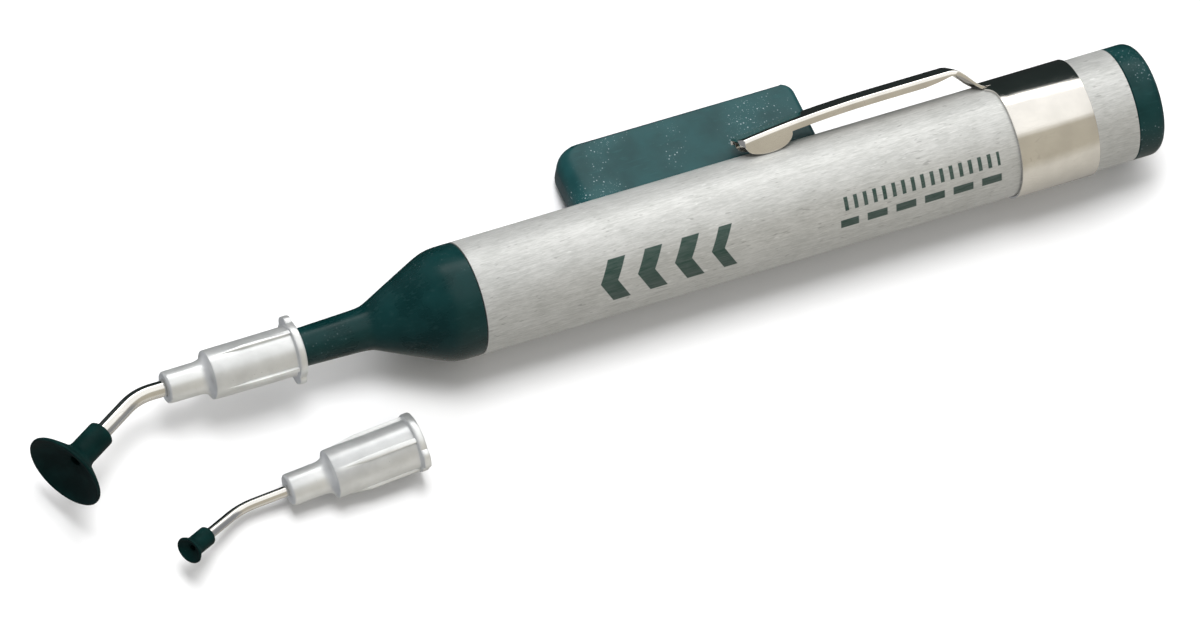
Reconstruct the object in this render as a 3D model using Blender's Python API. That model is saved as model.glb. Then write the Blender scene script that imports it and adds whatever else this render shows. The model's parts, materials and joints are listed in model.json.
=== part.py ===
"""Hand vacuum pick-up pen for small electronic components, with a spare probe.

The pen lies on a bench along X, nose to -X. Its clip band and the edge of its
press button touch the bench. Pressing the
button squeezes a rubber bulb inside the barrel; letting it go draws air in
through the bent probe, and its suction cup holds the component. The spare
probe, with a thinner tube and a smaller cup, lies in front of the nose.

All sizes are metres. Every frame below is an empty, and each piece is modelled
in the coordinates of its frame:
  pen    X along the barrel, x = 0 at the seam of nose and barrel, +Z through the button
  clip   the pen frame turned about X, +Z through the middle of the clip arm
  probe  origin on the hub's rear face, hub and tube towards -X, bent towards -Z
  cup    origin where the two straight runs of the tube meet, -X along the bent run
"""
import math

import bmesh
import bpy
from mathutils import Matrix, Vector

# Barrel: half-inch aluminium tube
BARREL_OD = 0.0127
BARREL_WALL = 0.0008
BARREL_LENGTH = 0.0782

# Clearances
RUN = 0.00005            # radial, between pieces that turn or slide on each other
SEAM = 0.00008           # between faces of pieces that meet end to end
SOFT = 0.0003            # between the bulb and what presses or holds it

# Nose cone, measured forward from the seam
NOSE_COLLAR = 0.0031
NOSE_CONE_END = 0.0111
NOSE_ROOT_R = 0.00265
NOZZLE_ROOT_R = 0.00236
LUER_TAPER = 0.06        # loss of diameter per length, the standard luer cone
LUER_MOUTH_R = 0.00212   # nozzle radius at the hub's rear face
LUER_DEPTH = 0.0068      # how far the nozzle enters the hub
NOZZLE_BORE_R = 0.0008
SPIGOT_LENGTH = 0.0055   # part of the nose cone that sits in the barrel
BARB_LENGTH = 0.0055
BARB_R = 0.0024

# Squeeze bulb
BULB_GAP = 0.0002        # between the bulb and the button's foot at rest
BULB_WALL = 0.0009
BULB_LENGTH = 0.0400
BULB_NECK_WALL = 0.0009
CLAMP_WALL = 0.0006
CLAMP_LENGTH = 0.0025

# Press button: an upright plate through a slot, on a curved foot inside the barrel
BUTTON_START = 0.0157
BUTTON_LENGTH = 0.0287
BUTTON_WIDTH = 0.0045
BUTTON_TOP = 0.0135      # from the barrel's axis
BUTTON_EDGE = 0.0011
BUTTON_FRONT_CORNER = 0.0022
BUTTON_REAR_CORNER = 0.0012
FOOT_OVERHANG = 0.0025   # the foot reaches past the plate at each end
FOOT_THICKNESS = 0.0009
FOOT_HALF_ANGLE = math.radians(38)

# Clip
CLIP_ANGLE = math.radians(40)   # round the barrel from the button to the clip
CLIP_SHEET = 0.00025
BAND_START = 0.0638
BAND_WIDTH = 0.0094
ARM_WIDTH = 0.0035
ARM_TIP_X = 0.0342
ARM_HINGE_X = 0.0634
ARM_BEND = 0.0036        # length of the bend that drops from the arm to the band
ARM_CROWN = 0.0030       # rise of the arm's back over the barrel at its highest
ARM_TIP_RISE = 0.0020
ARM_FLANGE = 0.0008      # depth of the arm's folded sides
TAB_LENGTH = 0.0057      # half-round tabs that press on the barrel
TAB_START = 0.0004       # behind the arm's tip

# End cap
CAP_LENGTH = 0.0034
CAP_SPIGOT = 0.0060
CAP_EDGE = 0.0012

# Probe hub
HUB_GAP = 0.0199         # from the seam to the hub's rear face
HUB_LENGTH = 0.0155
HUB_FLANGE_R = 0.00338
HUB_FLANGE_T = 0.0009
HUB_BODY_R = 0.00278
HUB_BODY_END = 0.0105    # from the rear face to the front of the wide body
HUB_NECK_R = 0.0018
HUB_NECK_START = 0.0119
HUB_SOCKET = 0.0080      # depth of the tapered socket
RIB_WIDTH = 0.0006
RIB_RISE = 0.00028
RIB_END = 0.0088
LUG_REACH = 0.0038
LUG_WIDTH = 0.0026

# Bent tubes and cups. Each probe has its own tube and cup.
BEND_ANGLE = math.radians(30)
BEND_RADIUS = 0.0065
TUBE_INSERT = 0.0055     # length of tube inside the hub
CUP_SEAT = 0.0019        # length of tube inside the cup's neck
FITTED = {"tube_r": 0.0009, "tube_wall": 0.0002, "lead": 0.0033, "run": 0.0125,
          "rim_r": 0.00476, "depth": 0.0028, "neck_r": 0.00155, "neck": 0.0037,
          "lip": 0.00035, "duct_r": 0.0006}
SPARE = {"tube_r": 0.0006, "tube_wall": 0.00015, "lead": 0.0056, "run": 0.0090,
         "rim_r": 0.0016, "depth": 0.0010, "neck_r": 0.0011, "neck": 0.0023,
         "lip": 0.00025, "duct_r": 0.00035}

# Placing
FITTED_BEND_ROLL = math.radians(184)    # from the button's side round to the bend
SPARE_OFFSET = Vector((-0.0094, -0.0130))   # rear face of the spare hub from the seam
SPARE_HEADING = math.radians(3.5)       # turned from the pen's line towards -Y
SPARE_BEND_ROLL = math.radians(142.6)   # from straight down towards -Y
FITTED_LUG_ROLL = math.radians(30)      # lugs from the plane of the bend
SPARE_LUG_ROLL = math.radians(12)

ROUND = 36               # facets of the barrel and what fits it
FINE = 24                # facets of the smaller round pieces

BARREL_R = BARREL_OD / 2
BORE_R = BARREL_R - BARREL_WALL
BULB_R = BORE_R - RUN - FOOT_THICKNESS - BULB_GAP


# ---------------------------------------------------------------- helpers

def clear_scene():
    for obj in list(bpy.data.objects):
        bpy.data.objects.remove(obj, do_unlink=True)


def material(name, colour, metallic, roughness):
    mat = bpy.data.materials.new(name)
    mat.use_nodes = True
    shader = mat.node_tree.nodes["Principled BSDF"]
    shader.inputs["Base Color"].default_value = (*colour, 1.0)
    shader.inputs["Metallic"].default_value = metallic
    shader.inputs["Roughness"].default_value = roughness
    return mat


def frame(name, parent=None, location=(0, 0, 0), rotation=Matrix.Identity(4)):
    """An empty that carries pieces or other frames."""
    empty = bpy.data.objects.new(name, None)
    bpy.context.scene.collection.objects.link(empty)
    empty.parent = parent
    empty.matrix_local = Matrix.Translation(location) @ rotation
    return empty


def piece(name, bm, mat, parent):
    """Turn a bmesh into a named, smooth-shaded object in its parent's frame."""
    bmesh.ops.remove_doubles(bm, verts=bm.verts[:], dist=1e-7)
    bmesh.ops.recalc_face_normals(bm, faces=bm.faces[:])
    mesh = bpy.data.meshes.new(name)
    bm.to_mesh(mesh)
    bm.free()
    mesh.shade_smooth()
    mesh.set_sharp_from_angle(angle=math.radians(35))
    mesh.materials.append(mat)
    obj = bpy.data.objects.new(name, mesh)
    bpy.context.scene.collection.objects.link(obj)
    obj.parent = parent
    return obj


def combine(target, tool, operation):
    """Join or cut target with tool, which is left out of the model."""
    tool.hide_render = True
    tool.display_type = 'WIRE'
    modifier = target.modifiers.new(operation.lower(), 'BOOLEAN')
    modifier.operation = operation
    modifier.solver = 'EXACT'
    modifier.object = tool


def turned(profile, steps, closed=False):
    """Turn a profile of (x, radius) points about X."""
    bm = bmesh.new()
    verts = [bm.verts.new((x, 0.0, radius)) for x, radius in profile]
    edges = [bm.edges.new(pair) for pair in zip(verts, verts[1:])]
    if closed:
        edges.append(bm.edges.new((verts[-1], verts[0])))
    bmesh.ops.spin(bm, geom=verts + edges, cent=(0, 0, 0), axis=(1, 0, 0),
                   angle=math.tau, steps=steps, use_merge=True)
    return bm


def arc(centre, radius, start, end, steps):
    """Points of a circular arc between two angles in degrees."""
    points = []
    for i in range(steps + 1):
        angle = math.radians(start + (end - start) * i / steps)
        points.append((centre[0] + radius * math.cos(angle),
                       centre[1] + radius * math.sin(angle)))
    return points


def loft(sections, cap=True):
    """Skin a list of equal point loops, closing the first and last."""
    bm = bmesh.new()
    rings = [[bm.verts.new(point) for point in section] for section in sections]
    for ring, following in zip(rings, rings[1:]):
        for i in range(len(ring)):
            j = (i + 1) % len(ring)
            bm.faces.new((ring[i], ring[j], following[j], following[i]))
    if cap:
        bm.faces.new(rings[0])
        bm.faces.new(rings[-1])
    return bm


def block(bm, low, high, turn=0.0, narrow=0.0):
    """Add a box to a bmesh, turned about X; narrow lowers its -X end's top."""
    size = Vector(high) - Vector(low)
    middle = (Vector(high) + Vector(low)) / 2
    made = bmesh.ops.create_cube(bm, size=1.0)["verts"]
    for vert in made:
        vert.co = Vector(a * b for a, b in zip(vert.co, size)) + middle
        if vert.co.x < middle.x and vert.co.z > middle.z:
            vert.co.z -= narrow
    bmesh.ops.rotate(bm, verts=made, cent=(0, 0, 0), matrix=Matrix.Rotation(turn, 3, 'X'))


# ---------------------------------------------------------------- resting pose

def pen_tilt():
    """How far the button points below level when band and button both touch down."""
    band_r = BARREL_R + RUN + CLIP_SHEET
    reach = BUTTON_TOP - BUTTON_EDGE
    half = BUTTON_WIDTH / 2 - BUTTON_EDGE
    return math.asin((band_r - BUTTON_EDGE) / math.hypot(reach, half)) - math.atan2(half, reach)


def ring_low(matrix, centre, radius):
    """Lowest point of a circle about the frame's X axis."""
    height = (matrix @ Vector(centre)).z
    lean = (matrix.to_3x3() @ Vector((1, 0, 0))).z
    return height - radius * math.sqrt(max(0.0, 1 - lean * lean))


def spare_rotation(pitch):
    heading = Matrix.Rotation(SPARE_HEADING, 4, 'Z')
    return heading @ Matrix.Rotation(pitch, 4, 'Y') @ Matrix.Rotation(-SPARE_BEND_ROLL, 4, 'X')


def spare_lows(pitch):
    """Lowest points of the spare's flange and of everything in front of it at a pitch."""
    hub = spare_rotation(pitch)
    cup = hub @ bend_matrix(SPARE)
    turned_lugs = hub @ Matrix.Rotation(SPARE_LUG_ROLL, 4, 'X')
    lugs = [(turned_lugs @ Vector((x, y, z))).z for x in (0, -HUB_FLANGE_T)
            for y in (-LUG_WIDTH / 2, LUG_WIDTH / 2) for z in (-LUG_REACH, LUG_REACH)]
    flange = min(ring_low(hub, (0, 0, 0), HUB_FLANGE_R), *lugs)
    body = ring_low(hub, (-HUB_BODY_END, 0, 0), HUB_BODY_R)
    neck = ring_low(hub, (-HUB_LENGTH, 0, 0), HUB_NECK_R)
    tube = min(ring_low(hub, (x, 0, z), SPARE["tube_r"]) for x, z, _ in tube_stations(SPARE))
    lip = ring_low(cup, (-SPARE["run"], 0, 0), SPARE["rim_r"])
    return flange, min(body, neck, tube, lip)


def spare_pitch():
    """The pitch at which flange and front stand on the same level, by bisection."""
    low, high = math.radians(-20), math.radians(20)
    for _ in range(40):
        middle = (low + high) / 2
        flange, front = spare_lows(middle)
        if front > flange:
            high = middle
        else:
            low = middle
    return middle


# ---------------------------------------------------------------- pen body

def make_barrel(pen, mat):
    profile = [(0, BORE_R), (0, BARREL_R), (BARREL_LENGTH, BARREL_R), (BARREL_LENGTH, BORE_R)]
    barrel = piece("barrel", turned(profile, ROUND, closed=True), mat, pen)
    slot = bmesh.new()
    end = BUTTON_START + BUTTON_LENGTH
    half = BUTTON_WIDTH / 2 + RUN
    block(slot, (BUTTON_START - RUN, -half, BORE_R / 2), (end + RUN, half, BUTTON_TOP))
    upright = [e for e in slot.edges if abs(e.verts[0].co.z - e.verts[1].co.z) > BORE_R / 4]
    bmesh.ops.bevel(slot, geom=upright, offset=BUTTON_EDGE * 0.8, segments=2, affect='EDGES')
    combine(barrel, piece("slot_tool", slot, mat, pen), 'DIFFERENCE')


def nozzle_r(distance):
    """Radius of the luer cone at a distance behind the hub's rear face."""
    return LUER_MOUTH_R + distance * LUER_TAPER / 2


def make_nose_cone(pen, mat):
    spigot_r = BORE_R - RUN
    barb_start = SPIGOT_LENGTH
    barb_end = SPIGOT_LENGTH + BARB_LENGTH
    tip = -HUB_GAP - LUER_DEPTH
    fillet = 0.0009
    outer = [(tip, NOZZLE_BORE_R), (tip, nozzle_r(-LUER_DEPTH)), (-HUB_GAP, LUER_MOUTH_R),
             (-NOSE_CONE_END - fillet, NOZZLE_ROOT_R), (-NOSE_CONE_END, NOSE_ROOT_R),
             (-NOSE_COLLAR - fillet, BARREL_R - 0.00045), (-NOSE_COLLAR, BARREL_R - 0.00008),
             (-NOSE_COLLAR + fillet, BARREL_R), (-SEAM, BARREL_R),
             (-SEAM, spigot_r), (barb_start, spigot_r), (barb_start, BARB_R - 0.0004),
             (barb_end - 0.0026, BARB_R - 0.0004), (barb_end - 0.0026, BARB_R),
             (barb_end, BARB_R - 0.0007), (barb_end, NOZZLE_BORE_R)]
    piece("nose_cone", turned(outer, ROUND, closed=True), mat, pen)


def make_end_cap(pen, mat):
    seam = BARREL_LENGTH + SEAM
    end = BARREL_LENGTH + CAP_LENGTH
    edge = arc((end - CAP_EDGE, BARREL_R - CAP_EDGE), CAP_EDGE, 90, 0, 4)
    profile = [(BARREL_LENGTH - CAP_SPIGOT, 0), (BARREL_LENGTH - CAP_SPIGOT, BORE_R - RUN),
               (seam, BORE_R - RUN), (seam, BARREL_R)] + edge + [(end, 0)]
    piece("end_cap", turned(profile, ROUND), mat, pen)


# ---------------------------------------------------------------- vacuum works

def make_squeeze_bulb(pen, mat):
    """A moulded bulb, closed at the rear, its mouth stretched over the barb."""
    mouth = SPIGOT_LENGTH + SOFT
    mouth_r = BARB_R + RUN
    neck_r = mouth_r + BULB_NECK_WALL
    neck_end = SPIGOT_LENGTH + BARB_LENGTH + SOFT
    shoulder = neck_end + (BULB_R - neck_r) * 1.5
    rear = mouth + BULB_LENGTH
    inner_r = BULB_R - BULB_WALL
    profile = [(rear, 0)] + arc((rear - BULB_R, 0), BULB_R, 0, 90, 5)[1:]
    profile += [(shoulder, BULB_R), (neck_end, neck_r), (mouth, neck_r), (mouth, mouth_r)]
    profile += [(neck_end, mouth_r), (shoulder, inner_r)]
    profile += arc((rear - BULB_R, 0), inner_r, 90, 0, 5)[:-1] + [(rear - BULB_WALL, 0)]
    piece("squeeze_bulb", turned(profile, FINE), mat, pen)


def make_bulb_clamp(pen, mat):
    """A pressed ring that holds the bulb's neck on the barb."""
    inner = BARB_R + RUN + BULB_NECK_WALL + RUN
    start = SPIGOT_LENGTH + 2 * SOFT
    end = start + CLAMP_LENGTH
    profile = [(start, inner), (start, inner + CLAMP_WALL), (end, inner + CLAMP_WALL), (end, inner)]
    piece("bulb_clamp", turned(profile, FINE, closed=True), mat, pen)


def make_button(pen, mat):
    """An upright plate with rounded corners, joined to a curved foot under the slot."""
    start = BUTTON_START
    end = BUTTON_START + BUTTON_LENGTH
    foot_r = BORE_R - RUN
    base = foot_r - FOOT_THICKNESS / 2
    front = arc((start + BUTTON_FRONT_CORNER, BUTTON_TOP - BUTTON_FRONT_CORNER),
                BUTTON_FRONT_CORNER, 180, 90, 4)
    rear = arc((end - BUTTON_REAR_CORNER, BUTTON_TOP - BUTTON_REAR_CORNER),
               BUTTON_REAR_CORNER, 90, 0, 4)
    outline = [(start, base)] + front + rear + [(end, base)]
    half = BUTTON_WIDTH / 2
    plate = loft([[(x, side, z) for x, z in outline] for side in (-half, half)])
    ends = [e for e in plate.edges if abs(e.verts[0].co.y - e.verts[1].co.y) < half / 2
            and max(v.co.z for v in e.verts) > base + half / 2]
    bmesh.ops.bevel(plate, geom=ends, offset=BUTTON_EDGE, segments=3, affect='EDGES')
    button = piece("vacuum_button", plate, mat, pen)

    sections = []
    for x in (start - FOOT_OVERHANG, end + FOOT_OVERHANG):
        section = []
        for radius, sign in ((foot_r, 1), (foot_r - FOOT_THICKNESS, -1)):
            for i in range(9):
                angle = sign * FOOT_HALF_ANGLE * (i / 4 - 1)
                section.append((x, radius * math.sin(angle), radius * math.cos(angle)))
        sections.append(section)
    combine(button, piece("foot_tool", loft(sections), mat, pen), 'UNION')


# ---------------------------------------------------------------- clip

def arm_back(x):
    """Radius of the arm's back over the barrel's axis, from its tip to its hinge."""
    band_r = BARREL_R + RUN + CLIP_SHEET
    crown = BARREL_R + ARM_CROWN
    bend_end = ARM_HINGE_X - ARM_BEND
    if x <= bend_end:
        share = (bend_end - x) / (bend_end - ARM_TIP_X)
        rest = ARM_CROWN - ARM_TIP_RISE
        return crown - rest * max(0.0, share - 0.35) ** 2 / 0.65 ** 2
    share = (x - bend_end) / (ARM_HINGE_X - bend_end)
    return crown + (band_r - crown) * (3 * share ** 2 - 2 * share ** 3)


def arm_depth(x):
    """Depth of the arm's folded sides, with the half-round tabs near the tip."""
    back = arm_back(x)
    deepest = back - math.sqrt((BARREL_R + SEAM) ** 2 - (ARM_WIDTH / 2) ** 2)
    middle = ARM_TIP_X + TAB_START + TAB_LENGTH / 2
    share = (x - middle) / (TAB_LENGTH / 2)
    if abs(share) < 1:
        return ARM_FLANGE + (deepest - ARM_FLANGE) * math.sqrt(1 - share * share)
    fade = min(1.0, (ARM_HINGE_X - x) / ARM_BEND)
    return max(CLIP_SHEET * 1.3, ARM_FLANGE * fade)


def make_clip(clip, hinge, mat):
    inner = BARREL_R + RUN
    outer = inner + CLIP_SHEET
    end = BAND_START + BAND_WIDTH
    band = [(BAND_START, inner), (BAND_START, outer), (end, outer), (end, inner)]
    piece("clip_band", turned(band, ROUND, closed=True), mat, clip)

    stations = [ARM_TIP_X, ARM_TIP_X + TAB_START]
    stations += [ARM_TIP_X + TAB_START + TAB_LENGTH * i / 8 for i in range(1, 9)]
    tabs_end = stations[-1]
    straight = ARM_HINGE_X - ARM_BEND - tabs_end
    stations += [tabs_end + straight * i / 5 for i in range(1, 6)]
    stations += [ARM_HINGE_X - ARM_BEND * (1 - i / 6) for i in range(1, 7)]
    origin = Vector(hinge.location)
    sections = []
    for x in stations:
        half = ARM_WIDTH / 2 * (0.55 if x == ARM_TIP_X else 1.0)
        top = arm_back(x)
        low = top - arm_depth(x)
        web = top - CLIP_SHEET
        inset = half - CLIP_SHEET
        outline = [(-half, low), (-half, top - 0.0002), (-half + 0.0002, top), (half - 0.0002, top),
                   (half, top - 0.0002), (half, low), (inset, low), (inset, web),
                   (-inset, web), (-inset, low)]
        sections.append([Vector((x, y, z)) - origin for y, z in outline])
    piece("clip_arm", loft(sections), mat, hinge)


# ---------------------------------------------------------------- probes

def bend_matrix(probe):
    """The cup frame in the probe frame: at the bend's corner, turned by the bend."""
    corner = Matrix.Translation((-HUB_LENGTH - probe["lead"], 0, 0))
    return corner @ Matrix.Rotation(-BEND_ANGLE, 4, 'Y')


def make_hub(name, mat, parent, probe, lug_roll):
    """A luer hub: flange with two lugs, ribbed body, neck, tapered socket and tube bore."""
    tube_bore = probe["tube_r"] + RUN
    socket_r = LUER_MOUTH_R + RUN
    socket_end_r = socket_r - HUB_SOCKET * LUER_TAPER / 2
    middle = (HUB_BODY_END + HUB_NECK_START) / 2
    throat = HUB_LENGTH - TUBE_INSERT - SOFT
    profile = [(0, socket_r), (0, HUB_FLANGE_R), (-HUB_FLANGE_T, HUB_FLANGE_R),
               (-HUB_FLANGE_T, HUB_BODY_R), (-HUB_BODY_END, HUB_BODY_R),
               (-middle, (HUB_BODY_R + HUB_NECK_R) / 2 - 0.0002), (-HUB_NECK_START, HUB_NECK_R),
               (-HUB_LENGTH, HUB_NECK_R), (-HUB_LENGTH, tube_bore), (-throat, tube_bore),
               (-HUB_SOCKET - 0.0006, tube_bore), (-HUB_SOCKET, socket_end_r)]
    hub = piece(name, turned(profile, FINE, closed=True), mat, parent)
    extras = bmesh.new()
    for i in range(4):
        turn = lug_roll + math.radians(45 + 90 * i)
        block(extras, (-RIB_END, -RIB_WIDTH / 2, HUB_BODY_R - 0.0002),
              (-HUB_FLANGE_T / 2, RIB_WIDTH / 2, HUB_BODY_R + RIB_RISE), turn, RIB_RISE * 0.8)
    for turn in (lug_roll, lug_roll + math.pi):
        block(extras, (-HUB_FLANGE_T, -LUG_WIDTH / 2, HUB_BODY_R - 0.0001),
              (0, LUG_WIDTH / 2, LUG_REACH), turn)
    tool = piece(name + "_tool", extras, mat, parent)
    combine(hub, tool, 'UNION')


def tube_stations(probe):
    """Centres and directions along the tube, in the probe frame's XZ plane."""
    tangent = BEND_RADIUS * math.tan(BEND_ANGLE / 2)
    corner = -HUB_LENGTH - probe["lead"]
    start = corner + tangent
    stations = [(-HUB_LENGTH + TUBE_INSERT, 0.0, 0.0), (start, 0.0, 0.0)]
    for i in range(1, 7):
        turn = BEND_ANGLE * i / 6
        stations.append((start - BEND_RADIUS * math.sin(turn),
                         -BEND_RADIUS * (1 - math.cos(turn)), turn))
    reach = probe["run"] - probe["depth"] - probe["neck"] + CUP_SEAT
    stations.append((corner - reach * math.cos(BEND_ANGLE),
                     -reach * math.sin(BEND_ANGLE), BEND_ANGLE))
    return stations


def make_tube(name, mat, parent, probe):
    sides = 14
    stations = tube_stations(probe)
    loops = []
    for radius, order in ((probe["tube_r"], stations),
                          (probe["tube_r"] - probe["tube_wall"], stations[::-1])):
        for x, z, turn in order:
            loop = []
            for i in range(sides):
                angle = math.tau * i / sides
                offset = radius * math.cos(angle)
                loop.append((x + offset * math.sin(turn), radius * math.sin(angle),
                             z - offset * math.cos(turn)))
            loops.append(loop)
    piece(name, loft(loops + [loops[0]], cap=False), mat, parent)


def make_cup(name, mat, parent, probe):
    """A rubber cup: neck over the tube, flared bowl, air duct in the middle."""
    rim_x = -probe["run"]
    back_x = rim_x + probe["depth"]
    rear_x = back_x + probe["neck"]
    bore_r = probe["tube_r"] + RUN
    seat_x = rear_x - CUP_SEAT - RUN
    rim_r = probe["rim_r"]
    neck_r = probe["neck_r"]
    lip = probe["lip"]
    flare = (neck_r + rim_r) / 2
    back_mid = back_x - (back_x - rim_x - lip) * 0.45
    outside = [(rear_x, bore_r), (rear_x, neck_r - lip / 2), (rear_x - lip / 2, neck_r),
               (back_x, neck_r), (back_mid, flare), (rim_x + lip, rim_r), (rim_x, rim_r)]
    inside = [(rim_x, rim_r - lip), (back_mid - lip * 1.6, flare - lip),
              (back_x - probe["depth"] * 0.62, probe["duct_r"]), (seat_x, probe["duct_r"]),
              (seat_x, bore_r)]
    piece(name, turned(outside + inside, FINE + 4, closed=True), mat, parent)


def make_probe(prefix, parent, probe, lug_roll, mats):
    make_hub(prefix + "_hub", mats["hub"], parent, probe, lug_roll)
    make_tube(prefix + "_tube", mats["tube"], parent, probe)
    cup_frame = frame(prefix + "_cup_frame", parent, rotation=bend_matrix(probe))
    make_cup(prefix + "_cup", mats["rubber"], cup_frame, probe)


# ---------------------------------------------------------------- assembly

def centre_on_bench(root):
    """Move the root so the model's box stands centred on the origin."""
    bpy.context.view_layer.update()
    depsgraph = bpy.context.evaluated_depsgraph_get()
    low = Vector((math.inf,) * 3)
    high = Vector((-math.inf,) * 3)
    for obj in bpy.data.objects:
        if obj.type != 'MESH' or obj.hide_render:
            continue
        evaluated = obj.evaluated_get(depsgraph)
        for vert in evaluated.data.vertices:
            point = evaluated.matrix_world @ vert.co
            low = Vector(map(min, low, point))
            high = Vector(map(max, high, point))
    middle = (low + high) / 2
    root.location = (-middle.x, -middle.y, -low.z)
    bpy.context.view_layer.update()


def main():
    clear_scene()
    mats = {
        "barrel": material("brushed_barrel", (0.62, 0.62, 0.60), 0.9, 0.42),
        "plastic": material("black_plastic", (0.012, 0.030, 0.030), 0.0, 0.38),
        "steel": material("clip_steel", (0.72, 0.69, 0.65), 1.0, 0.14),
        "hub": material("hub_metal", (0.72, 0.73, 0.72), 0.85, 0.36),
        "tube": material("tube_steel", (0.70, 0.69, 0.67), 1.0, 0.18),
        "rubber": material("cup_rubber", (0.010, 0.022, 0.020), 0.0, 0.55),
        "bulb": material("bulb_rubber", (0.16, 0.06, 0.04), 0.0, 0.6),
        "brass": material("clamp_brass", (0.62, 0.48, 0.26), 1.0, 0.3),
    }
    root = frame("bench")
    band_r = BARREL_R + RUN + CLIP_SHEET
    button_down = math.radians(90) + pen_tilt()
    pen = frame("pen_axis", root, (0, 0, band_r), Matrix.Rotation(-button_down, 4, 'X'))
    make_barrel(pen, mats["barrel"])
    make_nose_cone(pen, mats["plastic"])
    make_end_cap(pen, mats["plastic"])
    make_squeeze_bulb(pen, mats["bulb"])
    make_bulb_clamp(pen, mats["brass"])
    make_button(pen, mats["plastic"])

    clip = frame("clip_axis", pen, rotation=Matrix.Rotation(CLIP_ANGLE, 4, 'X'))
    hinge = frame("clip_hinge", clip, (ARM_HINGE_X, 0, band_r - CLIP_SHEET / 2))
    make_clip(clip, hinge, mats["steel"])

    bend = Matrix.Rotation(math.pi + FITTED_BEND_ROLL, 4, 'X')
    fitted = frame("fitted_probe", pen, (-HUB_GAP, 0, 0), bend)
    make_probe("fitted", fitted, FITTED, FITTED_LUG_ROLL, mats)

    pitch = spare_pitch()
    height = -min(spare_lows(pitch))
    place = (SPARE_OFFSET.x, SPARE_OFFSET.y, height)
    spare = frame("spare_probe", root, place, spare_rotation(pitch))
    make_probe("spare", spare, SPARE, SPARE_LUG_ROLL, mats)
    centre_on_bench(root)


main()
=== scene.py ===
import json
import math

import bmesh
import bpy
from mathutils import Matrix, Vector


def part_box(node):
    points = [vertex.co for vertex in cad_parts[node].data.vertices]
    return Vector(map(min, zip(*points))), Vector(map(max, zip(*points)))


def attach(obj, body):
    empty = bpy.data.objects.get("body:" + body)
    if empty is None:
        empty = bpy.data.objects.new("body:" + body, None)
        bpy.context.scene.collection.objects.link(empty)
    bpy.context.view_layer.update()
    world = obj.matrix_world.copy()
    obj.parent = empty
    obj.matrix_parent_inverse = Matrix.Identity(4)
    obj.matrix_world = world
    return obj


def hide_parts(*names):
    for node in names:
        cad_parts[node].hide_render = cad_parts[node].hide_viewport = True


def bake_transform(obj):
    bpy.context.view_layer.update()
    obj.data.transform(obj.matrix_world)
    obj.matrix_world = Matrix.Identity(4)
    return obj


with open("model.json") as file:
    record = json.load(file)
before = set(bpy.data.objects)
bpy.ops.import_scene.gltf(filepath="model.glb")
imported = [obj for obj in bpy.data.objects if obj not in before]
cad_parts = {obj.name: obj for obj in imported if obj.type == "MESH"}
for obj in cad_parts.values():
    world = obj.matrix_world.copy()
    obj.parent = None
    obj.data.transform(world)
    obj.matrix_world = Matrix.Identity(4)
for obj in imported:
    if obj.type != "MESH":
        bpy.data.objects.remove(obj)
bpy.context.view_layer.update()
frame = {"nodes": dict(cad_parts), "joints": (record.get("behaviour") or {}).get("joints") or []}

MM = 0.001


# ---------------------------------------------------------------- modelling

def deselect():
    bpy.ops.object.select_all(action='DESELECT')


def begin(add, name, **place):
    """Add a primitive with nothing else selected, and open it in edit mode."""
    deselect()
    add(**place)
    piece = bpy.context.active_object
    piece.name = name
    piece.data.name = name
    bpy.ops.object.transform_apply(location=True, rotation=True, scale=True)
    bpy.ops.object.mode_set(mode='EDIT')
    bpy.ops.mesh.select_all(action='SELECT')
    return piece


def close(piece, weld=True):
    """Merge what coincides, turn the faces outwards and leave edit mode."""
    bpy.ops.mesh.select_all(action='SELECT')
    if weld:
        bpy.ops.mesh.remove_doubles(threshold=1e-6)
    bpy.ops.mesh.normals_make_consistent(inside=False)
    bpy.ops.object.mode_set(mode='OBJECT')
    return piece


def pick_points(piece, test):
    """Select only the points whose place passes a test."""
    bpy.ops.mesh.select_mode(type='VERT')
    bpy.ops.mesh.select_all(action='DESELECT')
    mesh = bmesh.from_edit_mesh(piece.data)
    for vert in mesh.verts:
        vert.select = test(vert.co)
    mesh.select_flush_mode()
    bmesh.update_edit_mesh(piece.data)


def pick_edges(piece, test):
    """Select only the edges whose two ends pass a test together."""
    bpy.ops.mesh.select_mode(type='EDGE')
    bpy.ops.mesh.select_all(action='DESELECT')
    mesh = bmesh.from_edit_mesh(piece.data)
    for edge in mesh.edges:
        edge.select = test(edge.verts[0].co, edge.verts[1].co)
    mesh.select_flush_mode()
    bmesh.update_edit_mesh(piece.data)


def near(a, b, reach=1e-6):
    """Whether two measures are the same, to within a reach in metres."""
    return abs(a - b) < reach


def draw_on(step):
    """Extrude what is selected by a step in metres."""
    bpy.ops.mesh.extrude_region_move(TRANSFORM_OT_translate={"value": tuple(step)})


def turn(name, stations, segments=96, ends="joined"):
    """Turn a piece on the X axis: a ring drawn on from station to station, (x, radius) in mm."""
    x, radius = stations[0]
    piece = begin(bpy.ops.mesh.primitive_circle_add, name, vertices=segments, radius=radius * MM,
                  location=(x * MM, 0, 0), rotation=(0, math.pi / 2, 0))
    for next_x, next_radius in stations[1:]:
        draw_on(((next_x - x) * MM, 0, 0))
        share = next_radius / radius
        bpy.ops.transform.resize(value=(1, share, share), center_override=(next_x * MM, 0, 0))
        x, radius = next_x, next_radius
    if ends == "capped":
        bpy.ops.mesh.edge_face_add()
        pick_points(piece, lambda p: near(p.x, stations[0][0] * MM))
        bpy.ops.mesh.edge_face_add()
    return close(piece, weld=ends == "joined")


def arc(centre, radius, start, end, steps):
    """(x, radius) stations of a rounded corner, between two angles in degrees."""
    angles = [math.radians(start + (end - start) * i / steps) for i in range(steps + 1)]
    return [(centre[0] + radius * math.cos(a), centre[1] + radius * math.sin(a)) for a in angles]


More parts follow.
